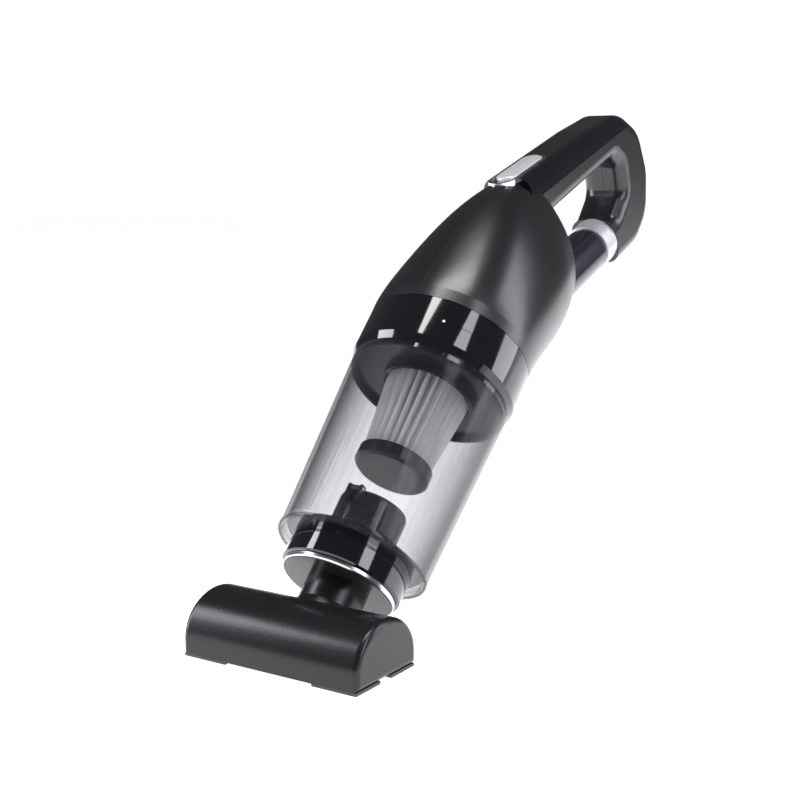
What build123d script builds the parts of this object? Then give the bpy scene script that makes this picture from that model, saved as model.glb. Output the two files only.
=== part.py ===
"""Handheld vacuum cleaner with a clear dust cup, a loop handle and a small floor head, in millimetres.

Row frame: +Z up, origin on the floor at the middle of the floor head's suction mouth, +X the way the nose points
and +Y the tool's left. Most pieces are drawn in a tool frame, whose Z runs up the tool's long axis towards the
handle, whose X points to the tool's top side, and whose Y is the row's Y. The handle has its own frame, with Z
along the grip and X towards the grip's top.
"""
import os
from math import radians, tan

from build123d import *

# Driving dimensions
LEAN = 45.7               # angle between the tool's axis and the floor
AXIS_X = -5.3             # where that axis meets the floor
BODY_R = 45.0             # motor housing's radius at the seam with the dust cup's collar
WALL = 2.4                # moulded wall
GAP = 0.3                 # air between pieces that move on each other
FIT = 0.05                # radial air between a shaft and its bush

# Stations along the tool's axis, from the floor up
SWIVEL_Z = 38.2           # lower face of the bright swivel ring
NOSE_Z = 41.0             # lower face of the nose collar
CUP_LIP_Z = 55.0          # lower edge of the dust cup's wall
CUP_FLOOR_Z = 56.8        # underside of the dust cup's floor
NOSE_TOP_Z = 60.8         # top of the nose collar, inside the cup
INLET_TOP_Z = 83.0        # top of the inlet tube that stands in the cup
FILTER_CAP_Z = 105.0      # lower face of the filter's end cap
PLATE_Z = 158.6           # lower face of the filter's base plate
CUP_TOP_Z = 158.4         # top of the clear wall's visible part, where the black collar starts
SPIGOT_Z = 162.8          # lower face of the housing's spigot
SEAM_Z = 185.6            # seam between the collar and the motor housing
SHOULDER_Z = 192.0        # where the housing stops being a plain cylinder
REAR_Z = 296.0            # rear edge of the motor housing, on top

# Radii
CUP_FOOT_R = 38.8         # clear wall at its lower edge
CUP_TOP_R = 43.5          # clear wall at its upper edge
CUP_WALL = 2.0
NOSE_R = 31.0
SWIVEL_R = 29.4
NECK_R = 15.5
INLET_R = 17.8
HINGE_X = INLET_R + 2.6   # hinge axis of the flap, towards the tool's top
SPIGOT_R = 40.6           # housing's ring that the collar slides over
CAP_R = 20.0              # filter's end cap
PLEAT_TOP_R = 23.0
PLEAT_FOOT_R = 17.7
PLEATS = 28

# Bayonet
PIN_ANGLE = 26.0          # from the tool's top towards its left
TWIST = 30.0              # turn that frees the cup
PIN_R = 1.6
GROOVE_R = 43.2           # bottom of the collar's inner groove
MARK = 0.25               # half width and depth of the lines that show where the grooves run
PIN_DROP = 12.6           # pin's distance below the seam

# Motor
SHAFT_R = 1.5
IMPELLER_R = 30.0
MOTOR_R = 17.5
MOUNT_Z = 188.0
MOTOR_Z = 190.4
MOTOR_LENGTH = 41.6

# Floor head
HEAD_L = 100.0
HEAD_W = 49.0
HEAD_H = 29.0
HEAD_SIDE_H = 8.0         # upright part of the head's front and rear walls
FOOT_T = 1.5              # glide feet's height
END_CAP_T = 5.0
MOUTH_L = 70.0
MOUTH_W = 14.0

# Handle, in its own frame
HANDLE_TILT = 24.5        # grip's angle to the tool's axis
HANDLE_AT = (-57.0, 349.0)    # handle frame's origin in the tool frame: towards the top, along the axis
GRIP_HALF_W = 15.0
GRIP_TOP = 42.0           # ridge of the grip
CREASE = 31.0             # line between the glossy cover and the matt loop
GRIP_UNDER = 15.0         # underside of the grip
TUBE_X = -34.5            # battery tube's centre
TUBE_R = 14.0
RING_LOW = 1.0            # bright ring's front face
RING_HIGH = 14.5          # bright ring's rear face, where the loop's rear post starts
SEAT_AT = -72.0           # middle of the switch
SEAT_RISE = 2.2           # ridge over GRIP_TOP there
RIDGE_TILT = 2.8          # ridge's slope to the grip's own line
SWITCH_LOW = -98.0
SWITCH_HIGH = -46.0
SWITCH_W = 16.0
SWITCH_TRAVEL = 6.0
CELL_R = 9.2
CELL_LENGTH = 65.0

MIN_UP = (Align.CENTER, Align.CENTER, Align.MIN)
TO_ROW = Pos(AXIS_X, 0, 0) * Rot(0, LEAN - 90, 0)
HANDLE = Pos(HANDLE_AT[0], 0, HANDLE_AT[1]) * Rot(0, -HANDLE_TILT, 0)
SEAT = HANDLE * Pos(0, 0, SEAT_AT) * Rot(0, -RIDGE_TILT, 0) * Pos(SEAT_RISE, 0, -SEAT_AT)


# Helpers

def turned(points):
    """Solid of revolution about Z from (radius, z) points."""
    outline = Polyline(*[(r, 0, z) for r, z in points], close=True)
    return revolve(make_face(outline), Axis.Z)


def ring(outer, inner, low, high):
    return turned([(inner, low), (outer, low), (outer, high), (inner, high)])


def disc(radius, low, high):
    return Pos(0, 0, low) * Cylinder(radius, high - low, align=MIN_UP)


def block(low, high):
    """Box from its lowest and highest corners."""
    size = [b - a for a, b in zip(low, high)]
    middle = [(a + b) / 2 for a, b in zip(low, high)]
    return Pos(*middle) * Box(*size)


def slab(points, half_width):
    """Slab each side of the middle, from (z, x) points of its side view."""
    outline = Polyline(*[(x, 0, z) for z, x in points], close=True)
    return extrude(make_face(outline), amount=half_width, dir=(0, 1, 0), both=True)


def spoke(angle, low_r, high_r, radius, z):
    """Round peg pointing outwards from the axis, at an angle from the tool's top."""
    peg = Cylinder(radius, high_r - low_r, align=MIN_UP)
    return Rot(0, 0, angle) * Pos(0, 0, z) * Rot(0, 90, 0) * Pos(0, 0, low_r) * peg


def sector(start, stop, outer, inner, low, high):
    """Part of a plain ring between two angles from the tool's top."""
    outline = Polyline((inner, 0, low), (outer, 0, low), (outer, 0, high), (inner, 0, high), close=True)
    return Rot(0, 0, start) * revolve(make_face(outline), Axis.Z, revolution_arc=stop - start)


def left_half(shape):
    return shape & block((-300, 0, -100), (300, 200, 600))


def right_half(shape):
    return shape & block((-300, -200, -100), (300, 0, 600))


# Motor housing: a teardrop shell whose sections turn from a circle into a tall oval

SECTIONS = (
    # along the axis, top edge, bottom edge, half width
    (SHOULDER_Z, BODY_R, -BODY_R, BODY_R),
    (210.0, 42.8, -50.5, 44.0),
    (232.0, 39.0, -61.0, 41.0),
    (254.0, 34.0, -70.0, 36.0),
    (276.0, 26.0, -77.0, 28.5),
    (306.0, 11.5, -83.0, 18.0),
)


def teardrop(inset):
    ovals = []
    for z, top, bottom, half_width in SECTIONS:
        oval = Ellipse((top - bottom) / 2 - inset, half_width - inset)
        ovals.append(Pos((top + bottom) / 2, 0, z) * oval)
    return loft(ovals)


def before_rear(inset):
    """Everything ahead of the housing's slanted rear face."""
    points = [
        (100, 90),
        (REAR_Z - inset, 90),
        (REAR_Z - inset, -5),
        (REAR_Z - 4 - inset, -38),
        (REAR_Z - 18 - inset, -72),
        (REAR_Z - 30 - inset, -95),
        (100, -95),
    ]
    return slab(points, 80)


def bulb(inset):
    body = teardrop(inset) & before_rear(inset)
    return body + disc(BODY_R - inset, SEAM_Z, SHOULDER_Z)


# Handle loop

def ridge_over(u):
    """Height of the grip's ridge at a place along the grip."""
    return GRIP_TOP + SEAT_RISE - (u - SEAT_AT) * tan(radians(RIDGE_TILT))


def loop_solid(inset, rounding):
    """Grip and rear post in the handle frame, drawn as a side view and rounded."""
    under_tube = TUBE_X - TUBE_R + inset
    over_tube = TUBE_X + TUBE_R - inset
    front = RING_HIGH + inset
    outside = [
        (-140, ridge_over(-140) - inset),
        (4, ridge_over(4) - inset),
        (46 - inset / 2, 36.5 - inset),
        (68 - inset, 19 - inset / 2),
        (75 - inset, -10),
        (67 - inset, -38 + inset / 2),
        (46, under_tube),
        (front, under_tube),
        (front, over_tube),
        (20 + inset / 2, over_tube),
        (36 + inset, -11),
        (36 + inset, 6 + inset / 2),
        (27, GRIP_UNDER + inset),
        (-140, GRIP_UNDER + inset),
    ]
    outline = make_face(Polyline(*[(x, 0, z) for z, x in outside], close=True))
    outer = outline.vertices().filter_by(lambda v: v.Z > 44 or v.Z > 1 and v.X > 30)
    outline = fillet(outer, 26)
    hole = outline.vertices().filter_by(lambda v: 16 + inset < v.Z < 40 + inset and -22 < v.X < 20)
    outline = fillet(hole, 7)
    body = extrude(outline, amount=GRIP_HALF_W - inset, dir=(0, 1, 0), both=True)
    side = GRIP_HALF_W - inset
    ridges = body.edges().filter_by(lambda e: abs(abs(e.center().Y) - side) < 0.01)
    long_ones = ridges.filter_by(lambda e: e.center().Z > -120 and abs(e.center().Z - front) > 0.1)
    return fillet(long_ones, rounding)


def above_crease(lift):
    """Everything over the crease, from the switch's front to the rear of the grip."""
    return slab([(-84, CREASE + lift), (60, CREASE + lift - 4), (90, 60), (-84, 60)], 30)


def stadium(low, high, width, bottom, top):
    """Upright slot shape along the grip, between two heights over the grip's middle."""
    straight = block((bottom, -width / 2, low + width / 2), (top, width / 2, high - width / 2))
    ends = Pos(bottom, 0, low + width / 2) * Rot(0, 90, 0) * Cylinder(width / 2, top - bottom, align=MIN_UP)
    ends += Pos(bottom, 0, high - width / 2) * Rot(0, 90, 0) * Cylinder(width / 2, top - bottom, align=MIN_UP)
    return straight + ends


def tube_part(outer, inner, low, high):
    """Ring round the battery tube's axis, in the handle frame."""
    return Pos(TUBE_X, 0, 0) * ring(outer, inner, low, high)


# Moulded body: bulb and loop together, split down the middle

def vents():
    """Slots through the housing's rear face, over the hand gap."""
    slots = []
    for y in (-15, -9, -3, 3, 9, 15):
        slots.append(block((-42, y - 1.3, 270), (-20, y + 1.3, 310)))
    return slots


def moulded_body():
    """Bulb, bosses, grip and rear post as one moulding, before it is split."""
    cavity = bulb(WALL) + disc(BODY_R - WALL, SEAM_Z - 1, SHOULDER_Z)
    shell = bulb(0) - cavity
    loop = HANDLE * ((loop_solid(0, 8) - loop_solid(WALL, 5.6)) & behind_front())
    loop -= bulb(0)
    loop -= HANDLE * above_crease(0)
    duct = block((-12, -6, REAR_Z - 12), (2, 6, REAR_Z + 8))
    body = shell + loop + (board_posts() & bulb(WALL / 2)) + screw_bosses()
    body -= duct
    for slot in vents():
        body -= slot
    body -= HANDLE * tube_part(TUBE_R, 0, -90, RING_LOW)
    body -= HANDLE * tube_part(11.6, 0, RING_LOW, RING_HIGH + 4)
    body -= port_space()
    body -= SEAT * switch_room()
    body -= housing_screws()
    return body - disc(MOTOR_R + 1, MOTOR_Z, MOTOR_Z + MOTOR_LENGTH + 6)


def behind_front():
    """Space behind the place where the grip grows out of the housing."""
    return block((-100, -40, -84), (100, 40, 120))


def cover_solid(inset):
    return loop_solid(inset, 8 - inset) & above_crease(GAP)


def grip_cover():
    """Glossy cover over the grip, with the switch's opening."""
    return cover_solid(0) - cover_solid(WALL)


def board():
    """Control board across the housing, behind the motor."""
    plate = block((-46, -17, 260), (2, 17, 261.6))
    chip = block((-30, -6, 257.6), (-18, 6, 260))
    coil = Pos(-10, 6, 252) * Cylinder(4, 8, align=MIN_UP)
    return plate + chip + coil


def board_posts():
    return block((-32, 17, 257), (-12, 40, 265)) + block((-32, -40, 257), (-12, -17, 265))


def port_space():
    return HANDLE * Pos(TUBE_X + 4, 0, 50) * Cylinder(4.0, 40, align=MIN_UP)


def charging_port():
    """Round socket let into the rear post."""
    sleeve = Pos(TUBE_X + 4, 0, 0) * ring(4.0, 2.9, 58, 68.5)
    pin = Pos(TUBE_X + 4, 0, 58) * Cylinder(0.9, 9, align=MIN_UP)
    back = Pos(TUBE_X + 4, 0, 56.5) * Cylinder(4.0, 1.5, align=MIN_UP)
    return sleeve + pin + back


# Coupling between the housing and the cup

def spigot():
    """Ring at the housing's mouth that carries the two bayonet pins."""
    body = turned([
        (37.6, SPIGOT_Z),
        (SPIGOT_R - 0.8, SPIGOT_Z),
        (SPIGOT_R, SPIGOT_Z + 0.8),
        (SPIGOT_R, SEAM_Z),
        (BODY_R - WALL, SEAM_Z),
        (BODY_R - WALL, MOUNT_Z),
        (37.6, MOUNT_Z),
    ])
    body -= ring(SPIGOT_R + 1, SPIGOT_R - 1.2, SPIGOT_Z + 3, SPIGOT_Z + 5)
    for angle in (PIN_ANGLE, PIN_ANGLE + 180):
        body += spoke(angle, 38.5, GROOVE_R - GAP, PIN_R, SEAM_Z - PIN_DROP)
    return body


def seal_ring():
    return ring(SPIGOT_R + 0.25, SPIGOT_R - 1.2, SPIGOT_Z + 3, SPIGOT_Z + 5)


def cup_collar():
    """Black ring on top of the clear cup, with two L-shaped bayonet grooves inside and their lines outside."""
    bore = SPIGOT_R + GAP
    body = turned([
        (bore, PLATE_Z + 3.4),
        (CUP_TOP_R - CUP_WALL, PLATE_Z + 3.4),
        (CUP_TOP_R - CUP_WALL, CUP_TOP_Z - 3),
        (CUP_TOP_R - 0.8, CUP_TOP_Z - 3),
        (CUP_TOP_R - 0.8, CUP_TOP_Z),
        (CUP_TOP_R, CUP_TOP_Z),
        (BODY_R, CUP_TOP_Z + 4),
        (BODY_R, SEAM_Z - GAP),
        (bore, SEAM_Z - GAP),
    ])
    half = PIN_R + GAP
    slot_z = SEAM_Z - PIN_DROP
    for angle in (PIN_ANGLE, PIN_ANGLE + 180):
        free = angle + TWIST
        body -= sector(angle, free, GROOVE_R, bore - 1, slot_z - half, slot_z + half)
        body -= spoke(angle, bore - 1, GROOVE_R, half, slot_z)
        body -= spoke(free, bore - 1, GROOVE_R, half, slot_z)
        body -= Rot(0, 0, free) * block((bore - 1, -half, slot_z), (GROOVE_R, half, SEAM_Z + 1))
        body -= sector(angle + 3, free, BODY_R + 1, BODY_R - MARK, slot_z - MARK, slot_z + MARK)
        body -= Rot(0, 0, free) * block((BODY_R - MARK, -MARK, slot_z - MARK), (BODY_R + 1, MARK, SEAM_Z + 1))
        body -= spoke(angle, BODY_R - 2 * MARK, BODY_R + 1, 0.9, slot_z)
    return body


def cup_shell():
    """Clear wall and floor of the dust cup."""
    top_in = CUP_TOP_R - CUP_WALL
    foot_in = CUP_FOOT_R - CUP_WALL
    return turned([
        (NOSE_R, CUP_FLOOR_Z),
        (foot_in, CUP_FLOOR_Z),
        (foot_in + 0.6, CUP_LIP_Z),
        (CUP_FOOT_R, CUP_LIP_Z),
        (CUP_FOOT_R + 0.6, CUP_FLOOR_Z + 1),
        (CUP_TOP_R, CUP_TOP_Z),
        (CUP_TOP_R - 0.8, CUP_TOP_Z),
        (CUP_TOP_R - 0.8, CUP_TOP_Z - 3),
        (top_in, CUP_TOP_Z - 3),
        (foot_in + 0.4, CUP_FLOOR_Z + 4),
        (foot_in - 1.6, CUP_FLOOR_Z + 2),
        (NOSE_R, CUP_FLOOR_Z + 2),
    ])


def nose_collar():
    """Black boss under the cup that takes the swivel ring."""
    bore = NECK_R + 2.5
    return turned([
        (bore, NOSE_Z),
        (bore + 2, NOSE_Z),
        (bore + 2, NOSE_TOP_Z - WALL),
        (NOSE_R - WALL, NOSE_TOP_Z - WALL),
        (NOSE_R - WALL, NOSE_Z),
        (NOSE_R - 0.8, NOSE_Z),
        (NOSE_R, NOSE_Z + 0.8),
        (NOSE_R, NOSE_TOP_Z),
        (bore - 2, NOSE_TOP_Z),
        (bore - 2, NOSE_TOP_Z - 3),
        (bore, NOSE_TOP_Z - 3),
    ])


def inlet_tube():
    """Tube that lets dust into the cup above the flap's seat, with the flap's hinge ears."""
    body = turned([
        (16.0, NOSE_TOP_Z),
        (INLET_R + 2.5, NOSE_TOP_Z),
        (INLET_R + 2.5, NOSE_TOP_Z + 2),
        (INLET_R, NOSE_TOP_Z + 2),
        (INLET_R, INLET_TOP_Z),
        (INLET_R - 1.8, INLET_TOP_Z),
        (INLET_R - 1.8, NOSE_TOP_Z + 4),
    ])
    for y in (-3.4, 3.4):
        body += block((INLET_R - 1.2, y - 0.8, INLET_TOP_Z - 7), (HINGE_X + 1.8, y + 0.8, INLET_TOP_Z - 2.5))
        body += block((HINGE_X - 1.8, y - 0.8, INLET_TOP_Z - 3), (HINGE_X + 1.8, y + 0.8, INLET_TOP_Z + 1.8))
    return body - hinge_rod(0.8 + FIT, 20)


def hinge_rod(radius, length):
    """Rod on the flap's hinge axis."""
    return Pos(HINGE_X, 0, INLET_TOP_Z) * Rot(90, 0, 0) * Cylinder(radius, length)


def inlet_flap():
    """Round lid that falls shut over the inlet tube."""
    low = INLET_TOP_Z + GAP
    lid = disc(INLET_R - 0.6, low, low + 1.2)
    arm = block((INLET_R - 3, -2.3, low), (HINGE_X + 1, 2.3, low + 1.2))
    return lid + arm + hinge_rod(1.6, 4.6) - hinge_rod(0.8, 20)


def flap_pin():
    return hinge_rod(0.8, 8.6)


def swivel_ring():
    """Bright ring under the nose that turns with the floor head."""
    bore = NECK_R + FIT
    sleeve = NECK_R + 2.5 - GAP
    return turned([
        (bore, SWIVEL_Z),
        (SWIVEL_R - 1, SWIVEL_Z),
        (SWIVEL_R, SWIVEL_Z + 1),
        (SWIVEL_R, NOSE_Z - GAP),
        (sleeve, NOSE_Z - GAP),
        (sleeve, NOSE_TOP_Z - 3 - GAP),
        (bore, NOSE_TOP_Z - 3 - GAP),
    ])


# Filter set

def filter_plate():
    """Black plate between the cup and the motor, with an air hole over the pleats."""
    inner = CUP_TOP_R - CUP_WALL - GAP
    body = turned([
        (12, PLATE_Z),
        (inner - 0.6, PLATE_Z),
        (inner - 0.6, PLATE_Z + 3.2),
        (12, PLATE_Z + 3.2),
    ])
    body += ring(PLEAT_TOP_R + 2.5, PLEAT_TOP_R + 0.6, PLATE_Z - 4, PLATE_Z)
    return body


def filter_seal():
    return ring(39.0, 37.9, PLATE_Z + 3.2, SPIGOT_Z)


def pleat_star(crest, valley, low, high, scale):
    """Star-shaped tube whose size changes from its low end to its high end."""
    low_points = []
    high_points = []
    for i in range(2 * PLEATS):
        radius = crest if i % 2 == 0 else valley
        spot = Vector(radius, 0, 0).rotate(Axis.Z, 180 * i / PLEATS)
        high_points.append((spot.X, spot.Y))
        low_points.append((spot.X * scale, spot.Y * scale))
    low_face = Pos(0, 0, low) * make_face(Polyline(*low_points, close=True))
    high_face = Pos(0, 0, high) * make_face(Polyline(*high_points, close=True))
    return loft([low_face, high_face])


def filter_pleats():
    scale = PLEAT_FOOT_R / PLEAT_TOP_R
    low = FILTER_CAP_Z + 2.5
    outer = pleat_star(PLEAT_TOP_R, PLEAT_TOP_R - 5, low, PLATE_Z, scale)
    inner = pleat_star(PLEAT_TOP_R - 1.2, PLEAT_TOP_R - 6.2, low, PLATE_Z, scale)
    return outer - inner


def filter_core():
    """Open cage inside the pleats, hanging from the plate."""
    body = turned([
        (10.5, FILTER_CAP_Z + 2.5),
        (12.0, FILTER_CAP_Z + 2.5),
        (12.0, PLATE_Z + 3.2),
        (10.5, PLATE_Z + 3.2),
    ])
    for z in (114, 128, 142):
        for angle in range(0, 180, 30):
            body -= Rot(0, 0, angle) * block((-20, -2.2, z), (20, 2.2, z + 10))
    return body


def filter_cap():
    return turned([
        (0, FILTER_CAP_Z),
        (CAP_R - 1.5, FILTER_CAP_Z),
        (CAP_R, FILTER_CAP_Z + 1.5),
        (CAP_R, FILTER_CAP_Z + 8),
        (CAP_R - 0.8, FILTER_CAP_Z + 8),
        (CAP_R - 0.8, FILTER_CAP_Z + 2.5),
        (0, FILTER_CAP_Z + 2.5),
    ])


# Motor, fan and what carries them

def motor_mount():
    """Bulkhead that holds the motor in the housing and lets the air past it."""
    plate = disc(BODY_R - WALL, MOUNT_Z, MOTOR_Z) - disc(5, MOUNT_Z - 1, MOTOR_Z + 1)
    for angle in range(0, 360, 40):
        plate -= Rot(0, 0, angle) * Pos(27, 0, MOUNT_Z) * Cylinder(5, 12)
    return plate


def motor_can():
    end = MOTOR_Z + MOTOR_LENGTH
    return turned([
        (4, MOTOR_Z),
        (MOTOR_R - 1, MOTOR_Z),
        (MOTOR_R, MOTOR_Z + 1),
        (MOTOR_R, end - 2),
        (MOTOR_R - 2, end),
        (4, end),
        (4, end - 1.5),
        (MOTOR_R - 2.5, end - 1.5),
        (MOTOR_R - 1.2, end - 3),
        (MOTOR_R - 1.2, MOTOR_Z + 1.5),
        (4, MOTOR_Z + 1.5),
    ])


def magnets():
    arcs = sector(20, 160, MOTOR_R - 1.2, 13.2, MOTOR_Z + 6, MOTOR_Z + 32)
    return arcs + sector(200, 340, MOTOR_R - 1.2, 13.2, MOTOR_Z + 6, MOTOR_Z + 32)


def front_bush():
    return ring(4, SHAFT_R + FIT, MOTOR_Z, MOTOR_Z + 4)


def rear_bush():
    end = MOTOR_Z + MOTOR_LENGTH
    return ring(4, SHAFT_R + FIT, end - 4, end)


def motor_shaft():
    return disc(SHAFT_R, 170.5, MOTOR_Z + MOTOR_LENGTH + 2)


def armature():
    """Wound core on the shaft, with the slots between its windings."""
    body = ring(12.4, SHAFT_R, MOTOR_Z + 7, MOTOR_Z + 30)
    for angle in range(0, 360, 60):
        body -= Rot(0, 0, angle) * block((9.0, -1.2, MOTOR_Z + 6), (14, 1.2, MOTOR_Z + 31))
    return body + ring(5, SHAFT_R, MOTOR_Z + 30, MOTOR_Z + 35)


def impeller():
    """Fan: a back plate, a hub and curved blades."""
    body = ring(IMPELLER_R, SHAFT_R, 180, 181.5)
    body += ring(5, SHAFT_R, 171, 180)
    arc = ring(18, 16.8, 173, 180)
    arc = arc & block((-20, 0, 170), (20, 20, 182))
    for angle in range(0, 360, 45):
        blade = Rot(0, 0, angle) * Pos(16.5, -4.0, 0) * arc
        body += blade & (disc(IMPELLER_R - 0.5, 172, 180.5) - disc(4.5, 170, 182))
    return body


def fan_shroud():
    """Fixed cover round the fan, open in the middle."""
    return turned([
        (12, 168.0),
        (32, 169.5),
        (36, 173),
        (36, 184),
        (37.6, 184),
        (37.6, 186),
        (34.5, 186),
        (34.5, 173.6),
        (31.4, 171.0),
        (12, 169.6),
    ])


# Switch, on the grip's ridge

def switch_bezel():
    """Bright frame round the switch."""
    outer = stadium(SWITCH_LOW, SWITCH_HIGH, SWITCH_W, GRIP_TOP - 6, GRIP_TOP + 0.6)
    inner = stadium(SWITCH_LOW + 1.6, SWITCH_HIGH - 1.6, SWITCH_W - 3.2, GRIP_TOP - 4.5, GRIP_TOP + 1)
    slot = block((GRIP_TOP - 7, -2.5, SWITCH_LOW + 16), (GRIP_TOP - 4, 2.5, SWITCH_HIGH - 12))
    return outer - inner - slot


def switch_button():
    """Sliding button in its rearward rest position, with the finger that works the switch below."""
    low = SWITCH_LOW + 2 + SWITCH_TRAVEL
    cap = stadium(low, SWITCH_HIGH - 2, SWITCH_W - 3.2 - 2 * GAP, GRIP_TOP - 4.5 + GAP, GRIP_TOP + 1.2)
    tip = cap.faces().sort_by(Axis.X)[-1]
    cap = fillet(tip.edges(), 0.9)
    finger = block((GRIP_TOP - 8.0, -2.1, low + 14), (GRIP_TOP - 4, 2.1, low + 20))
    return cap + finger


def switch_body():
    """Slide switch under the button."""
    case = block((GRIP_TOP - 15, -5, SWITCH_LOW + 12), (GRIP_TOP - 6, 5, SWITCH_HIGH - 8))
    pocket = block((GRIP_TOP - 9, -2.4, SWITCH_LOW + 15), (GRIP_TOP - 5, 2.4, SWITCH_HIGH - 12))
    return case - pocket


def switch_room():
    """Space in the bulb and the cover for the switch."""
    room = stadium(SWITCH_LOW, SWITCH_HIGH, SWITCH_W, GRIP_TOP - 6, 60)
    return room + block((GRIP_TOP - 15, -5, SWITCH_LOW + 12), (GRIP_TOP - 6, 5, SWITCH_HIGH - 8))


# Battery tube

def battery_tube():
    return tube_part(TUBE_R - 0.5, 11.8, -74, RING_LOW) + tube_part(TUBE_R, 11.8, -50, RING_LOW)


def tube_ring():
    return tube_part(TUBE_R + 0.9, 11.8, RING_LOW, RING_HIGH)


def cell(x, low):
    """Round battery cell with its raised contact."""
    can = Pos(x, 0, low) * Cylinder(CELL_R, CELL_LENGTH - 1.2, align=MIN_UP)
    return can + Pos(x, 0, low + CELL_LENGTH - 1.2) * Cylinder(3, 1.2, align=MIN_UP)


def cell_liner():
    """Sleeve that centres the cell in the tube."""
    return tube_part(11.8, CELL_R, -62, RING_LOW - 4)


# Floor head, in the row frame

def head_block(inset, lift, low, high):
    """Solid with the head's end view, between two places along Y."""
    half = HEAD_W / 2 - inset
    rise = HEAD_H - HEAD_SIDE_H - inset
    foot = FOOT_T + lift
    lower = block((-half, low, foot), (half, high, HEAD_SIDE_H))
    oval = Pos(0, (low + high) / 2, HEAD_SIDE_H) * Rot(90, 0, 0) * extrude(Ellipse(half, rise), (high - low) / 2, both=True)
    crown = oval & block((-half - 1, low - 1, HEAD_SIDE_H), (half + 1, high + 1, HEAD_H + 1))
    return lower + crown


def neck_outer():
    body = turned([
        (0, -10),
        (NECK_R + 4, -10),
        (NECK_R + 4, 18),
        (NECK_R + 1.2, 22),
        (NECK_R, 26),
        (NECK_R, NOSE_TOP_Z - 3 - GAP),
        (0, NOSE_TOP_Z - 3 - GAP),
    ])
    return TO_ROW * body & block((-60, -30, 5), (60, 30, 100))


def neck_bore(low):
    return TO_ROW * disc(13.2, -10, NOSE_TOP_Z) & block((-60, -30, low), (60, 30, 100))


def head_shell():
    """Long D-shaped cover of the head, with the neck's way in."""
    inner_y = HEAD_L / 2 - END_CAP_T
    body = head_block(0, 0, -inner_y, inner_y) - head_block(WALL, -1, -inner_y - 1, inner_y + 1)
    return body - neck_bore(7.4)


def neck_tube():
    return neck_outer() - head_block(0, -5, -HEAD_L / 2, HEAD_L / 2) - neck_bore(7.4)


def head_end_cap(side):
    """Rounded cap on one end of the head."""
    inner_y = HEAD_L / 2 - END_CAP_T
    body = head_block(0, 0, inner_y, HEAD_L / 2)
    rim = body.faces().sort_by(Axis.Y)[-1]
    body = fillet(rim.edges(), 3)
    plug = head_block(WALL, WALL, inner_y - 3, inner_y) - head_block(2 * WALL, 2 * WALL, inner_y - 4, inner_y)
    body += plug
    return body if side > 0 else mirror(body, Plane.XZ)


def sole_plate():
    """Flat floor of the head round the suction mouth."""
    reach = HEAD_L / 2 - END_CAP_T - 3
    half = HEAD_W / 2 - WALL
    plate = block((-half, -reach, FOOT_T), (half, reach, FOOT_T + 2))
    mouth = block((-MOUTH_W / 2, -MOUTH_L / 2, 0), (MOUTH_W / 2, MOUTH_L / 2, 10))
    lip = block((-MOUTH_W / 2 - 1.5, -MOUTH_L / 2 - 1.5, FOOT_T + 2), (MOUTH_W / 2 + 1.5, MOUTH_L / 2 + 1.5, FOOT_T + 4))
    plate += lip
    for y in (-39.5, 39.5):
        plate -= Pos(0, y, 0) * Cylinder(1.3, 20)
    return plate - mouth


def sole_screws():
    """Two countersunk screws through the sole."""
    screws = []
    for y in (-39.5, 39.5):
        screws.append(Pos(0, y, FOOT_T + 0.2) * Cylinder(1.3, 8, align=MIN_UP))
    return screws[0] + screws[1]


def lint_strips():
    """Two brushed strips each side of the mouth."""
    front = block((10.5, -34, FOOT_T - 1.0), (14.5, 34, FOOT_T))
    return front + block((-14.5, -34, FOOT_T - 1.0), (-10.5, 34, FOOT_T))


def glide_feet():
    """Low feet round the head's underside."""
    half = HEAD_W / 2
    end = HEAD_L / 2
    feet = []
    for sx in (-1, 1):
        for sy in (-1, 1):
            x0, x1 = sorted((sx * (half - 3.5), sx * (half - 0.6)))
            y0, y1 = sorted((sy * 25, sy * (end - 3)))
            feet.append(block((x0, y0, 0), (x1, y1, FOOT_T)))
            x0, x1 = sorted((sx * 4.5, sx * (half - 0.6)))
            y0, y1 = sorted((sy * (end - 4), sy * (end - 0.8)))
            feet.append(block((x0, y0, 0), (x1, y1, FOOT_T)))
    body = feet[0]
    for foot in feet[1:]:
        body += foot
    return body


# Screws that close the housing

SCREW_SPOTS = ((-62.0, 262.0), (28.0, 232.0), (-40.0, 205.0))


def housing_screws():
    body = None
    for x, z in SCREW_SPOTS:
        screw = Pos(x, 0, z) * Rot(90, 0, 0) * (Cylinder(1.4, 20) + Pos(0, 0, 9) * Cylinder(2.8, 2))
        body = screw if body is None else body + screw
    return body


def screw_bosses():
    body = None
    for x, z in SCREW_SPOTS:
        boss = Pos(x, 0, z) * Rot(90, 0, 0) * Cylinder(3.6, 60)
        body = boss if body is None else body + boss
    return body & bulb(WALL / 2)


def export(name, shape):
    export_step(shape, f"parts/{name}.step")


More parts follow.
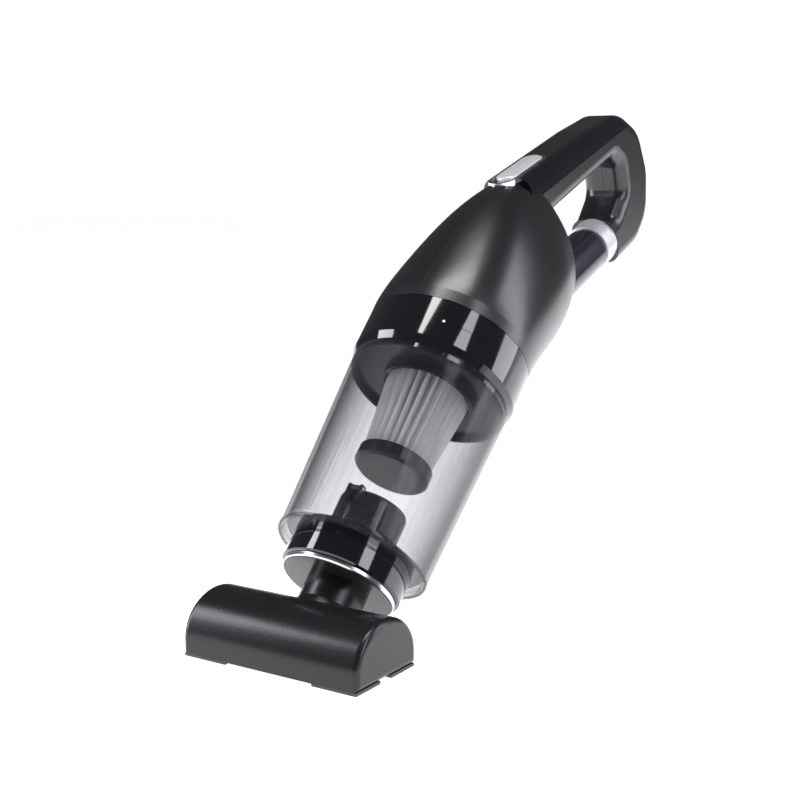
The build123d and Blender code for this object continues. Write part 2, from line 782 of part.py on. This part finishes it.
def main():
    os.makedirs("parts", exist_ok=True)
    body = moulded_body()
    export("housing_left", TO_ROW * left_half(body))
    export("housing_right", TO_ROW * right_half(body))
    export("grip_cover", TO_ROW * (HANDLE * grip_cover() - SEAT * switch_room() - bulb(0)))
    export("switch_bezel", TO_ROW * SEAT * switch_bezel())
    export("switch_button", TO_ROW * SEAT * switch_button())
    export("switch_body", TO_ROW * SEAT * switch_body())
    export("battery_tube", TO_ROW * HANDLE * battery_tube())
    export("battery_cell_tube", TO_ROW * HANDLE * cell(TUBE_X, -66))
    export("battery_cell_grip", TO_ROW * HANDLE * cell(27.0, -42))
    export("cell_liner", TO_ROW * HANDLE * cell_liner())
    export("tube_ring", TO_ROW * HANDLE * tube_ring())
    export("charging_port", TO_ROW * HANDLE * charging_port())
    export("control_board", TO_ROW * board())
    export("housing_screws", TO_ROW * housing_screws())
    export("housing_spigot", TO_ROW * spigot())
    export("housing_seal", TO_ROW * seal_ring())
    export("motor_mount", TO_ROW * motor_mount())
    export("motor_can", TO_ROW * motor_can())
    export("motor_magnets", TO_ROW * magnets())
    export("front_bush", TO_ROW * front_bush())
    export("rear_bush", TO_ROW * rear_bush())
    export("fan_shroud", TO_ROW * fan_shroud())
    export("motor_shaft", TO_ROW * motor_shaft())
    export("armature", TO_ROW * armature())
    export("impeller", TO_ROW * impeller())
    export("filter_plate", TO_ROW * filter_plate())
    export("filter_seal", TO_ROW * filter_seal())
    export("filter_pleats", TO_ROW * filter_pleats())
    export("filter_core", TO_ROW * filter_core())
    export("filter_cap", TO_ROW * filter_cap())
    export("cup_collar", TO_ROW * cup_collar())
    export("cup_shell", TO_ROW * cup_shell())
    export("nose_collar", TO_ROW * nose_collar())
    export("inlet_tube", TO_ROW * inlet_tube())
    export("inlet_flap", TO_ROW * inlet_flap())
    export("flap_pin", TO_ROW * flap_pin())
    export("swivel_ring", TO_ROW * swivel_ring())
    export("head_shell", head_shell())
    export("head_cap_left", head_end_cap(1))
    export("head_cap_right", head_end_cap(-1))
    export("neck_tube", neck_tube())
    export("sole_plate", sole_plate())
    export("sole_screws", sole_screws())
    export("lint_strips", lint_strips())
    export("glide_feet", glide_feet())


if __name__ == "__main__":
    main()
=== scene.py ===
# %% [markdown]
# # A handheld vacuum cleaner
# The solid model is already built and packed, so this lesson only dresses it. It sets a camera and a small studio
# round the tool, gives each moulding its own finish, and adds the details that are easier to model in Blender.
# Loading the frame first means that every piece added later already sits in the right place, in metres.

# %% Load the frame
from math import cos, pi, radians, sin

import bmesh
import bpy
from mathutils import Matrix, Vector


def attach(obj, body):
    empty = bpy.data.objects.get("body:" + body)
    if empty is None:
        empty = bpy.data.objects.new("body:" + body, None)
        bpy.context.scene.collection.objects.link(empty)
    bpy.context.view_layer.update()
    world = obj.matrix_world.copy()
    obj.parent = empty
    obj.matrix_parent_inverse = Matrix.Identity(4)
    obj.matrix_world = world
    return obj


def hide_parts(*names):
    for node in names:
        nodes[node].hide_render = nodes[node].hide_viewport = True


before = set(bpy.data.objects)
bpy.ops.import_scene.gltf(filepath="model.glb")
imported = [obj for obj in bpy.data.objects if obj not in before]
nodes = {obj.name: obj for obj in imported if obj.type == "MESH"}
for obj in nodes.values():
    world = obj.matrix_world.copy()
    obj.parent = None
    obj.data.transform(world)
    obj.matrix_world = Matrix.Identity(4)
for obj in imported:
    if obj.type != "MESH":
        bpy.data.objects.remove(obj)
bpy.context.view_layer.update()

print(len(nodes), "nodes")

# %% [markdown]
# The tool leans back over its floor head. Two small frames make it easy to place pieces on it: one runs up the
# tool's long axis, with X towards the tool's top side, and the other runs along the grip.

# %% The tool's two frames
LEAN = radians(45.7)
GRIP_TILT = radians(24.5)
AXIS_FOOT = Vector((-0.0053, 0, 0))
TOOL = Matrix.Translation(AXIS_FOOT) @ Matrix.Rotation(LEAN - pi / 2, 4, "Y")
GRIP = TOOL @ Matrix.Translation((-0.057, 0, 0.349)) @ Matrix.Rotation(-GRIP_TILT, 4, "Y")

# %% [markdown]
# The camera looks at the middle of the tool from its left front, a little above it. A long lens keeps the floor
# head from growing too large against the handle, and a small shift places the tool in the frame.

# %% Camera
AZIMUTH = radians(123.47)
ELEVATION = radians(12.91)
DISTANCE = 0.675
TARGET = Vector((-0.0675, 0, 0.0675))
FORWARD = Vector((-sin(AZIMUTH) * cos(ELEVATION), cos(AZIMUTH) * cos(ELEVATION), -sin(ELEVATION)))
RIGHT = Vector((cos(AZIMUTH), sin(AZIMUTH), 0))
UP = RIGHT.cross(FORWARD)

lens = bpy.data.cameras.new("camera")
lens.lens = 60.82
lens.shift_x = 0.028
lens.shift_y = 0.117
camera = bpy.data.objects.new("camera", lens)
bpy.context.scene.collection.objects.link(camera)
camera.matrix_world = Matrix((
    (RIGHT.x, UP.x, -FORWARD.x, TARGET.x - FORWARD.x * DISTANCE),
    (RIGHT.y, UP.y, -FORWARD.y, TARGET.y - FORWARD.y * DISTANCE),
    (RIGHT.z, UP.z, -FORWARD.z, TARGET.z - FORWARD.z * DISTANCE),
    (0, 0, 0, 1),
))
bpy.context.scene.camera = camera

# %% [markdown]
# Shader maths reads best as ordinary arithmetic, so one small class wraps a socket and adds a Math node for each
# operator. A second class holds a material and makes any other node from its type, its settings and its sockets.

# %% Helpers for materials


class Wave:
    """A number that changes over the surface."""

    def __init__(self, finish, socket):
        self.finish = finish
        self.socket = socket

    def math(self, kind, *values):
        return self.finish.wave("ShaderNodeMath", {"operation": kind}, dict(enumerate(values)))

    def __add__(self, other):
        return self.math("ADD", self, other)

    def __radd__(self, other):
        return self.math("ADD", other, self)

    def __sub__(self, other):
        return self.math("SUBTRACT", self, other)

    def __rsub__(self, other):
        return self.math("SUBTRACT", other, self)

    def __mul__(self, other):
        return self.math("MULTIPLY", self, other)

    def __rmul__(self, other):
        return self.math("MULTIPLY", other, self)

    def __pow__(self, other):
        return self.math("POWER", self, other)

    def __abs__(self):
        return self.math("ABSOLUTE", self)

    def __lt__(self, other):
        return self.math("LESS_THAN", self, other)

    def __gt__(self, other):
        return self.math("GREATER_THAN", self, other)

    def sine(self):
        return self.math("SINE", self)


class Finish:
    """A material with one Principled shader, and short ways to feed it."""

    def __init__(self, name, colour, roughness, **constants):
        self.material = bpy.data.materials.new(name)
        self.material.use_nodes = True
        self.tree = self.material.node_tree
        self.shader = self.tree.nodes["Principled BSDF"]
        self.feed("Base Color", (*colour, 1))
        self.feed("Roughness", roughness)
        for key, value in constants.items():
            self.feed(key.replace("_", " "), value)

    def node(self, kind, settings=None, sockets=None):
        made = self.tree.nodes.new(kind)
        for key, value in (settings or {}).items():
            setattr(made, key, value)
        for key, value in (sockets or {}).items():
            self.join(value, made.inputs[key])
        return made

    def join(self, value, socket):
        if isinstance(value, Wave):
            value = value.socket
        if isinstance(value, bpy.types.NodeSocket):
            self.tree.links.new(value, socket)
        else:
            socket.default_value = value

    def wave(self, kind, settings=None, sockets=None, output=0):
        return Wave(self, self.node(kind, settings, sockets).outputs[output])

    def feed(self, name, value):
        self.join(value, self.shader.inputs[name])

    def place(self, matrix=None):
        """Object coordinates, or the same in another frame."""
        spot = self.node("ShaderNodeTexCoord").outputs["Object"]
        if matrix is None:
            return spot
        back = matrix.inverted()
        return self.node("ShaderNodeMapping", None, {
            "Vector": spot,
            "Location": back.to_translation(),
            "Rotation": back.to_euler(),
        }).outputs[0]

    def axes(self, matrix=None):
        parts = self.node("ShaderNodeSeparateXYZ", None, {"Vector": self.place(matrix)})
        return [Wave(self, out) for out in parts.outputs]

    def noise(self, scale, detail=3.0, matrix=None, stretch=None):
        """Soft noise, in cells per metre."""
        spot = self.place(matrix)
        if stretch:
            spot = self.node("ShaderNodeMapping", None, {"Vector": spot, "Scale": stretch}).outputs[0]
        return self.wave("ShaderNodeTexNoise", None, {"Vector": spot, "Scale": scale, "Detail": detail})

    def mix(self, mask, first, second):
        blend = self.node("ShaderNodeMix", {"data_type": "RGBA"})
        self.join(mask, blend.inputs["Factor"])
        self.join((*first, 1) if len(first) == 3 else first, blend.inputs[6])
        self.join((*second, 1) if len(second) == 3 else second, blend.inputs[7])
        return blend.outputs[2]

    def bump(self, height, depth):
        """Relief of that depth in metres."""
        relief = self.node("ShaderNodeBump", None, {"Height": height, "Strength": 1.0, "Distance": depth})
        self.feed("Normal", relief.outputs[0])

    def wear(self, roughness, spread, scale=60.0):
        """Fine handling marks: roughness that drifts a little."""
        self.feed("Roughness", roughness + spread * (self.noise(scale) - 0.5))


# %% [markdown]
# The housing is a half-gloss black moulding in two halves. Its gloss is slightly uneven, as moulded plastic is, and a
# hairline parting line runs along the middle, where the halves meet. A mask on the distance from the middle plane
# draws that line, so it follows the surface exactly.

# %% Black mouldings


PARTING_HALF_WIDTH = 0.00022
HOUSING_TINT = (0.009, 0.009, 0.011)
HOUSING_ROUGHNESS = 0.30


def housing_black():
    finish = Finish("housing_black", HOUSING_TINT, HOUSING_ROUGHNESS, Coat_Roughness=0.22)
    y = finish.axes()[1]
    line = abs(y) < PARTING_HALF_WIDTH
    finish.feed("Base Color", finish.mix(line, HOUSING_TINT, (0.001, 0.001, 0.001)))
    finish.feed("Roughness", HOUSING_ROUGHNESS + 0.08 * (finish.noise(35.0) - 0.5) + 0.5 * line)
    finish.bump(finish.noise(90.0, 2.0) - 4 * line, 0.00004)
    finish.feed("Coat Weight", 0.35 + 0.1 * finish.noise(12.0))
    return finish.material


def mirror_black(name, roughness=0.07):
    """The collar and the boss under the cup: the glossiest black on the tool."""
    finish = Finish(name, (0.007, 0.007, 0.009), roughness, Coat_Roughness=0.03)
    finish.wear(roughness, 0.05, 45.0)
    finish.feed("Coat Weight", 0.5 + 0.2 * finish.noise(20.0))
    finish.bump(finish.noise(60.0, 2.0), 0.00002)
    return finish.material


def satin_black(name, tint=(0.018, 0.018, 0.020), roughness=0.33):
    """Fine-grained moulding that spreads its highlights."""
    finish = Finish(name, tint, roughness, Specular_IOR_Level=0.42)
    grain = finish.noise(1800.0, 2.0)
    finish.feed("Base Color", finish.mix(finish.noise(25.0), tint, tuple(1.35 * c for c in tint)))
    finish.feed("Roughness", roughness + 0.10 * (grain - 0.5))
    finish.bump(grain, 0.000003)
    return finish.material


# %% [markdown]
# The dust cup is clear plastic with a light smoke tint. Clear walls look darker towards their edges, because the
# eye passes through more plastic there, so the opacity follows Layer Weight. Fine flow lines from the mould run
# up the wall.

# %% Clear cup


FLOW_LINES = 24.0
FLOW_SHARPNESS = 24.0


def clear_smoke():
    finish = Finish("clear_smoke", (0.040, 0.040, 0.048), 0.05, IOR=1.45)
    edge = finish.wave("ShaderNodeLayerWeight", None, {"Blend": 0.5}, 1)
    x, y, _ = finish.axes(TOOL)
    angle = x.math("ARCTAN2", y, x)
    lines = (FLOW_LINES * angle).sine() ** FLOW_SHARPNESS
    finish.feed("Alpha", 0.15 + 0.80 * edge ** 1.9 + 0.03 * lines)
    finish.feed("Roughness", 0.05 + 0.05 * finish.noise(30.0))
    finish.bump(lines, 0.00006)
    return finish.material


def smoked_tube():
    finish = Finish("smoked_tube", (0.035, 0.035, 0.042), 0.10)
    edge = finish.wave("ShaderNodeLayerWeight", None, {"Blend": 0.5}, 1)
    finish.feed("Alpha", 0.80 + 0.2 * edge)
    finish.wear(0.12, 0.06)
    return finish.material


# %% [markdown]
# Plated trim is almost a mirror. What makes it believable is a trace of ripple left by the plating bath and a
# faint veil of handling marks.

# %% Metals


def bright_plate(name="bright_plate", colour=(0.86, 0.86, 0.88), roughness=0.16):
    finish = Finish(name, colour, roughness, Metallic=1.0)
    finish.wear(roughness, 0.08, 90.0)
    finish.bump(finish.noise(120.0, 2.0), 0.00002)
    return finish.material


# Inside this radius the ring's colour is painted shade, dark and barely metallic.
SHADE_PAINTED_INSIDE_R = 0.0288


def ring_plate():
    """Bright outer wall. Inside the given radius, on the inner side and most of the face turned to the floor, the
    colour is painted shade: black and barely metallic.
    """
    finish = Finish("ring_plate", (0.7, 0.7, 0.72), 0.18, Metallic=1.0)
    x, y, _ = finish.axes(TOOL)
    wall = (x * x + y * y) ** 0.5 > SHADE_PAINTED_INSIDE_R
    finish.feed("Base Color", finish.mix(wall, (0.02, 0.02, 0.022), (0.72, 0.72, 0.74)))
    finish.feed("Metallic", 0.1 + 0.9 * wall)
    return finish.material


def satin_silver():
    """Blasted and plated ring: bright from every side."""
    finish = Finish("satin_silver", (0.88, 0.88, 0.90), 0.32, Metallic=0.55)
    finish.wear(0.32, 0.1, 200.0)
    finish.feed("Base Color", finish.mix(finish.noise(60.0), (0.90, 0.90, 0.92), (0.82, 0.82, 0.85)))
    finish.bump(finish.noise(2500.0, 2.0), 0.00001)
    return finish.material


def brushed(name, colour, roughness=0.3):
    """Turned or drawn metal, with fine lines round the tool's axis."""
    finish = Finish(name, colour, roughness, Metallic=1.0)
    lines = finish.noise(900.0, 2.0, TOOL, (0.05, 0.05, 1.0))
    finish.feed("Roughness", roughness + 0.2 * (lines - 0.5))
    finish.feed("Base Color", finish.mix(lines, colour, tuple(0.75 * c for c in colour)))
    finish.bump(lines, 0.00002)
    return finish.material


def tube_lacquer():
    """Dark purple-grey metallic lacquer with tiny flakes."""
    finish = Finish("tube_lacquer", (0.045, 0.038, 0.058), 0.24, Metallic=0.7)
    flakes = finish.noise(4000.0, 1.0) ** 3.0
    finish.feed("Base Color", finish.mix(flakes, (0.045, 0.038, 0.058), (0.22, 0.19, 0.27)))
    finish.feed("Roughness", 0.2 + 0.15 * flakes)
    finish.feed("Coat Weight", 0.5 + 0.1 * finish.noise(20.0))
    return finish.material


def silver_button():
    finish = Finish("silver_button", (0.78, 0.78, 0.81), 0.26, Metallic=0.35)
    flakes = finish.noise(3000.0, 1.0)
    finish.feed("Base Color", finish.mix(flakes, (0.82, 0.82, 0.84), (0.70, 0.70, 0.74)))
    finish.feed("Roughness", 0.22 + 0.12 * flakes)
    return finish.material


# %% [markdown]
# Filter paper is white and slightly fibrous. It is darker on the inner half of the pleats, towards the axis.

# %% Filter paper, rubber and the parts inside


PLEAT_MIDDLE_R = 0.0185


def filter_paper():
    finish = Finish("filter_paper", (0.86, 0.86, 0.87), 0.85)
    x, y, _ = finish.axes(TOOL)
    radius = (x * x + y * y) ** 0.5
    fibre = finish.noise(1500.0, 4.0)
    depth = (radius > PLEAT_MIDDLE_R) * 0.35 + 0.5 * fibre
    finish.feed("Base Color", finish.mix(depth, (0.70, 0.70, 0.72), (0.93, 0.93, 0.94)))
    finish.feed("Roughness", 0.8 + 0.15 * fibre)
    finish.bump(fibre, 0.00008)
    return finish.material


def soft_rubber(name="soft_rubber", tint=(0.022, 0.022, 0.023)):
    finish = Finish(name, tint, 0.6)
    bloom = finish.noise(140.0, 4.0)
    finish.feed("Base Color", finish.mix(bloom, tint, tuple(1.8 * c for c in tint)))
    finish.feed("Roughness", 0.5 + 0.2 * bloom)
    finish.bump(finish.noise(2200.0, 2.0), 0.00004)
    return finish.material


def circuit_green():
    finish = Finish("circuit_green", (0.012, 0.11, 0.045), 0.35)
    x, y, _ = finish.axes(TOOL)
    tracks = ((900.0 * x).sine() * (1100.0 * y).sine()) > 0.55
    finish.feed("Base Color", finish.mix(tracks, (0.012, 0.11, 0.045), (0.10, 0.32, 0.10)))
    finish.feed("Roughness", 0.32 + 0.2 * tracks)
    finish.bump(tracks, 0.00003)
    return finish.material


def copper_wire():
    finish = Finish("copper_wire", (0.62, 0.24, 0.09), 0.28, Metallic=1.0)
    z = finish.axes(TOOL)[2]
    turns = (9000.0 * z).sine()
    # Painted shade between the turns and painted highlight on each turn's crest: the colour follows the same waves as
    # the relief.
    finish.feed("Base Color", finish.mix(0.5 + 0.5 * turns, (0.42, 0.15, 0.06), (0.72, 0.30, 0.12)))
    finish.feed("Roughness", 0.28 + 0.08 * turns)
    finish.bump(turns, 0.0001)
    return finish.material


def cell_sleeve():
    finish = Finish("cell_sleeve", (0.03, 0.11, 0.32), 0.3)
    wrinkle = finish.noise(120.0, 3.0, GRIP, (1.0, 1.0, 0.2))
    finish.feed("Base Color", finish.mix(wrinkle, (0.03, 0.11, 0.32), (0.05, 0.16, 0.42)))
    finish.feed("Roughness", 0.25 + 0.15 * wrinkle)
    finish.bump(wrinkle, 0.0001)
    return finish.material


def lint_velvet():
    finish = Finish("lint_velvet", (0.25, 0.02, 0.03), 0.9)
    pile = finish.noise(3500.0, 3.0)
    finish.feed("Base Color", finish.mix(pile, (0.14, 0.01, 0.015), (0.38, 0.04, 0.05)))
    finish.feed("Roughness", 0.8 + 0.15 * pile)
    finish.bump(pile, 0.0002)
    return finish.material


# %% [markdown]
# Each solid takes its finish by name. Shared finishes are made once, so the two halves of the housing match.

# %% Give every solid its finish
black = housing_black()
collar_black = mirror_black("collar_black")
cover_black = mirror_black("cover_black", 0.10)
head_black = satin_black("head_black", (0.009, 0.009, 0.010), 0.27)
inner_black = satin_black("inner_black", (0.03, 0.03, 0.032), 0.45)
plate_black = satin_black("plate_black", (0.010, 0.010, 0.011), 0.22)
chrome = bright_plate()
ring_steel = ring_plate()
brass = brushed("turned_brass", (0.70, 0.52, 0.26))
steel = brushed("zinc_steel", (0.55, 0.55, 0.58))
ferrite = satin_black("ferrite", (0.05, 0.05, 0.055), 0.5)
rubber = soft_rubber()
sleeve = cell_sleeve()

DRESS = {
    "housing_left": black, "housing_right": black, "grip_cover": cover_black,
    "switch_bezel": chrome, "switch_button": silver_button(), "switch_body": inner_black,
    "battery_tube": tube_lacquer(), "battery_cell_tube": sleeve, "battery_cell_grip": sleeve,
    "cell_liner": inner_black, "tube_ring": satin_silver(), "charging_port": brass, "control_board": circuit_green(),
    "housing_screws": steel, "housing_spigot": inner_black, "housing_seal": rubber, "motor_mount": inner_black,
    "motor_can": steel, "motor_magnets": ferrite, "front_bush": brass, "rear_bush": brass,
    "fan_shroud": inner_black, "motor_shaft": steel, "armature": copper_wire(), "impeller": plate_black,
    "filter_plate": plate_black, "filter_seal": rubber, "filter_pleats": filter_paper(), "filter_core": inner_black,
    "filter_cap": plate_black, "cup_collar": collar_black, "cup_shell": clear_smoke(), "nose_collar": collar_black,
    "inlet_tube": smoked_tube(), "inlet_flap": rubber, "flap_pin": steel, "swivel_ring": ring_steel,
    "head_shell": head_black, "head_cap_left": head_black, "head_cap_right": head_black, "neck_tube": head_black,
    "sole_plate": inner_black, "sole_screws": steel, "lint_strips": lint_velvet(),
    "glide_feet": soft_rubber("glide_felt", (0.05, 0.05, 0.052)),
}
for name, material in DRESS.items():
    solid = nodes[name]
    for place in solid.material_slots:
        place.material = material
print(len(DRESS), "solids dressed,", set(nodes) - set(DRESS), "left")

# %% [markdown]
# A plain pale floor and four soft boxes make the studio. Black gloss shows only what it mirrors, so tall soft
# boxes stand each side to draw long highlights down the housing, and a weaker one lights the top of the head.

# %% Studio
FLOOR_GLOW = 0.98


def pale_floor():
    finish = Finish("pale_floor", (0.86, 0.86, 0.87), 0.55)
    finish.feed("Base Color", finish.mix(finish.noise(3.0), (0.86, 0.86, 0.87), (0.89, 0.89, 0.90)))
    finish.feed("Emission Color", (0.95, 0.95, 0.97, 1))
    finish.feed("Emission Strength", FLOOR_GLOW)
    return finish.material


bpy.ops.object.select_all(action="DESELECT")
bpy.ops.mesh.primitive_plane_add(size=14)
floor = bpy.context.object
floor.name = "floor"
floor.data.materials.append(pale_floor())


def soft_box(name, side, height, ahead, wide, tall, power, tint=(1, 1, 1)):
    """Area light placed by how far it is to the right of, above and in front of the tool, in metres."""
    light = bpy.data.lights.new(name, "AREA")
    light.shape = "RECTANGLE"
    light.size = wide
    light.size_y = tall
    light.energy = power
    light.color = tint
    lamp = bpy.data.objects.new(name, light)
    bpy.context.scene.collection.objects.link(lamp)
    middle = Vector((-0.17, 0, 0.16))
    level = Vector((FORWARD.x, FORWARD.y, 0)).normalized()
    lamp.location = middle + RIGHT * side - level * ahead + Vector((0, 0, height))
    lamp.rotation_euler = (middle - lamp.location).to_track_quat("-Z", "Y").to_euler()
    return lamp


soft_box("left box", -1.25, 0.45, 0.0, 0.5, 1.2, 16, (0.92, 0.92, 1.0))
soft_box("right box", 0.75, 0.60, 0.75, 0.30, 1.1, 6, (0.92, 0.92, 1.0))
soft_box("far right box", 1.3, 0.5, -0.1, 0.5, 1.2, 8, (0.92, 0.92, 1.0))
soft_box("top box", 0.0, 1.5, 0.15, 0.9, 0.4, 12)

WORLD_LIGHT = 0.07
WORLD_SEEN = 1.05

world = bpy.data.worlds.new("studio")
world.use_nodes = True
bpy.context.scene.world = world
backdrop = world.node_tree.nodes["Background"]
backdrop.inputs["Color"].default_value = (0.95, 0.95, 0.97, 1)
seen = world.node_tree.nodes.new("ShaderNodeLightPath").outputs["Is Camera Ray"]
brightness = world.node_tree.nodes.new("ShaderNodeMath")
brightness.operation = "MULTIPLY_ADD"
brightness.inputs[1].default_value = WORLD_SEEN
brightness.inputs[2].default_value = WORLD_LIGHT
world.node_tree.links.new(seen, brightness.inputs[0])
world.node_tree.links.new(brightness.outputs[0], backdrop.inputs["Strength"])
bpy.context.scene.view_settings.view_transform = "Standard"

# %% [markdown]
# The thumb slider is the brightest part of the tool: a smooth silver bar with round ends. A box is the quickest
# start. Its four short edges are bevelled into half circles and its top edge is then rounded, both in edit mode.
# It is modelled flat, along the grip, and its mesh is moved onto the grip's ridge at the end.

# %% Helpers for modelling
MM = 0.001
SEAT = (GRIP @ Matrix.Translation((0, 0, -72 * MM)) @ Matrix.Rotation(radians(-2.8), 4, "Y")
        @ Matrix.Translation((2.2 * MM, 0, 72 * MM)))


def start():
    """Nothing selected, and object mode."""
    if bpy.context.object and bpy.context.object.mode != "OBJECT":
        bpy.ops.object.mode_set(mode="OBJECT")
    bpy.ops.object.select_all(action="DESELECT")


def pick_edges(piece, wanted):
    """Selects the edges that wanted(start, end) is true for, in edit mode."""
    bpy.ops.object.mode_set(mode="EDIT")
    bpy.ops.mesh.select_mode(type="EDGE")
    bpy.ops.mesh.select_all(action="DESELECT")
    mesh = bmesh.from_edit_mesh(piece.data)
    for edge in mesh.edges:
        edge.select_set(wanted(edge.verts[0].co, edge.verts[1].co))
    bmesh.update_edit_mesh(piece.data)


def pick_faces(piece, wanted):
    """Selects the faces that wanted(centre, normal) is true for, in edit mode."""
    bpy.ops.object.mode_set(mode="EDIT")
    bpy.ops.mesh.select_mode(type="FACE")
    bpy.ops.mesh.select_all(action="DESELECT")
    mesh = bmesh.from_edit_mesh(piece.data)
    for face in mesh.faces:
        face.select_set(wanted(face.calc_center_median(), face.normal))
    bmesh.update_edit_mesh(piece.data)


def settle(piece, name, matrix, material, body):
    """Smooths a finished piece, moves its mesh into place, and ties it to its body."""
    bpy.ops.object.mode_set(mode="OBJECT")
    bpy.ops.object.transform_apply(location=True, rotation=True, scale=True)
    bpy.ops.object.shade_smooth_by_angle(angle=radians(32))
    piece.data.transform(matrix)
    piece.name = name
    piece.data.materials.clear()
    piece.data.materials.append(material)
    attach(piece, body)
    print(name, len(piece.data.polygons), "faces")
    return piece


def ring_of(radius, thickness):
    """A torus about the tool's axis, thickness being the radius of its section."""
    bpy.ops.mesh.primitive_torus_add(major_radius=radius, minor_radius=thickness, major_segments=128, minor_segments=12)


# %% Thumb slider
SLIDER_LOW = -90 * MM
SLIDER_HIGH = -48 * MM
SLIDER_WIDTH = 12.2 * MM
SLIDER_BASE = 37.8 * MM
SLIDER_TOP = 43.4 * MM

start()
bpy.ops.mesh.primitive_cube_add(
    size=1,
    location=((SLIDER_BASE + SLIDER_TOP) / 2, 0, (SLIDER_LOW + SLIDER_HIGH) / 2),
    scale=(SLIDER_TOP - SLIDER_BASE, SLIDER_WIDTH, SLIDER_HIGH - SLIDER_LOW),
)
slider = bpy.context.object
bpy.ops.object.transform_apply(location=True, rotation=True, scale=True)
pick_edges(slider, lambda p, q: abs(p.x - q.x) > 4 * MM)
bpy.ops.mesh.bevel(offset=SLIDER_WIDTH / 2 - 0.05 * MM, segments=12, affect="EDGES")
pick_faces(slider, lambda c, n: n.x > 0.9)
bpy.ops.mesh.bevel(offset=1.6 * MM, segments=5, affect="EDGES")
settle(slider, "thumb_slider", SEAT, DRESS["switch_button"], "power_switch")
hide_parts("switch_button")

# %% [markdown]
# A white dot on the collar shows where the cup locks. It is a shallow button of paint in a dimple, so a cylinder
# with a rounded rim is enough. The loop makes one on each side.

# %% Lock dots


def dot_paint():
    finish = Finish("dot_paint", (0.85, 0.85, 0.85), 0.4)
    finish.wear(0.4, 0.1, 300.0)
    finish.feed("Base Color", finish.mix(finish.noise(900.0), (0.80, 0.80, 0.80), (0.92, 0.92, 0.92)))
    return finish.material


COLLAR_R = 45 * MM
SEAM_Z = 185.6 * MM
PIN_DROP = 12.6 * MM
DOT_Z = SEAM_Z - PIN_DROP
DOT_ANGLES = (26, 206)
paint = dot_paint()
for number, angle in enumerate(DOT_ANGLES):
    start()
    bpy.ops.mesh.primitive_cylinder_add(vertices=32, radius=0.8 * MM, depth=0.5 * MM)
    dot = bpy.context.object
    pick_faces(dot, lambda c, n: n.z > 0.9)
    bpy.ops.mesh.bevel(offset=0.2 * MM, segments=3, affect="EDGES")
    turn = Matrix.Rotation(radians(angle), 4, "Z") @ Matrix.Translation((COLLAR_R - 0.27 * MM, 0, DOT_Z))
    place = TOOL @ turn @ Matrix.Rotation(pi / 2, 4, "Y")
    settle(dot, f"lock_dot_{number + 1}", place, paint, "dust_cup")

# %% [markdown]
# The cup's lower rim carries a rounded bead that keeps the clear wall from chipping, and it catches a bright line
# of light. A bead is a torus, pressed a little flatter in edit mode.

# %% Bead round the cup's rim
RIM_R = 38.9 * MM
RIM_Z = 55.8 * MM
start()
ring_of(RIM_R, 0.8 * MM)
bead = bpy.context.object
pick_faces(bead, lambda c, n: True)
bpy.ops.transform.resize(value=(1, 1, 0.8))
settle(bead, "cup_bead", TOOL @ Matrix.Translation((0, 0, RIM_Z)), DRESS["cup_shell"], "dust_cup")

# %% [markdown]
# The housing's seal is an O-ring in a groove. A torus with the groove's own radius stands for the square-section
# ring of the solid model, because a moulded ring is round.

# %% Seal
SEAL_R = 40.1 * MM
SEAL_Z = 166.8 * MM
start()
ring_of(SEAL_R, 0.72 * MM)
seal = bpy.context.object
pick_faces(seal, lambda c, n: True)
bpy.ops.transform.resize(value=(1, 1, 1.15))
settle(seal, "o_ring", TOOL @ Matrix.Translation((0, 0, SEAL_Z)), rubber, "motor_unit")
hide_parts("housing_seal")
